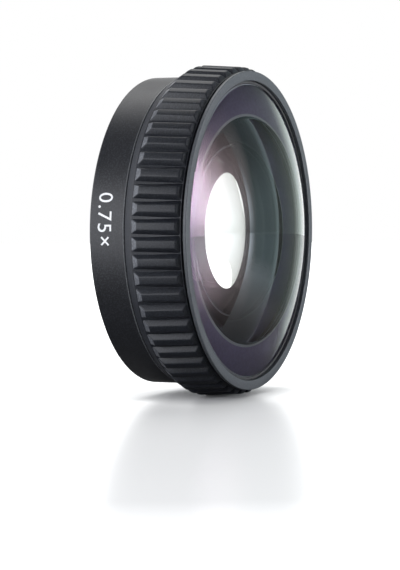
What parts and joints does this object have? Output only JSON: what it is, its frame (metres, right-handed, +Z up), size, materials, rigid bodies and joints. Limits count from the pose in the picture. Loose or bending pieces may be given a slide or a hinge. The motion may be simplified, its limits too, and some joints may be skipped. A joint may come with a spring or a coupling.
{
  "type": "wide-angle conversion lens",
  "caption": "Wide-angle conversion lens with a domed front glass, a flat bezel, a ribbed lock grip and a smooth rear barrel with a twist-lock socket.",
  "frame": {"origin": "where the optical axis meets the rear mounting face", "axes": "+Y along the optical axis towards the camera, -Y is where the front glass looks, +Z up"},
  "size_m": [0.044, 0.0175, 0.044],
  "materials": {
    "barrel_metal": "satin black anodised, finely speckled",
    "grip_metal": "matte black anodised",
    "bezel_metal": "satin blue-grey anodised with bright chamfers",
    "flange_metal": "satin black anodised",
    "cell_metal": "matte black, light absorbing",
    "lock_metal": "blackened",
    "fastener_steel": "black oxide",
    "spring_steel": "polished",
    "washer_plastic": "slippery, unfilled",
    "seal_rubber": "matte black",
    "shield_film": "matte black film",
    "front_glass": "multicoated, blackened land and edge",
    "inner_glass": "multicoated, blackened edge"
  },
  "bodies": {
    "barrel": {"main_barrel": "barrel_metal", "mount_flange": "flange_metal", "flange_screws": "fastener_steel", "rear_gasket": "seal_rubber", "detent_ball": "spring_steel", "detent_leaf": "spring_steel", "glide_washer": "washer_plastic", "front_bezel": "bezel_metal", "front_shield": "shield_film", "front_seal": "seal_rubber", "front_element": "front_glass", "lens_cell": "cell_metal", "second_element": "inner_glass", "second_retaining_ring": "cell_metal", "third_element": "inner_glass", "fourth_element": "inner_glass", "rear_retaining_ring": "cell_metal"},
    "grip": {"grip_ring": "grip_metal", "lock_ring": "lock_metal", "drive_screws": "fastener_steel"}
  },
  "joints": [
    {"name": "grip_turn", "type": "hinge", "parent": "barrel", "child": "grip", "pos_m": [0, 0, 0], "axis": [0, 1, 0], "range_deg": [0, 45]}
  ]
}
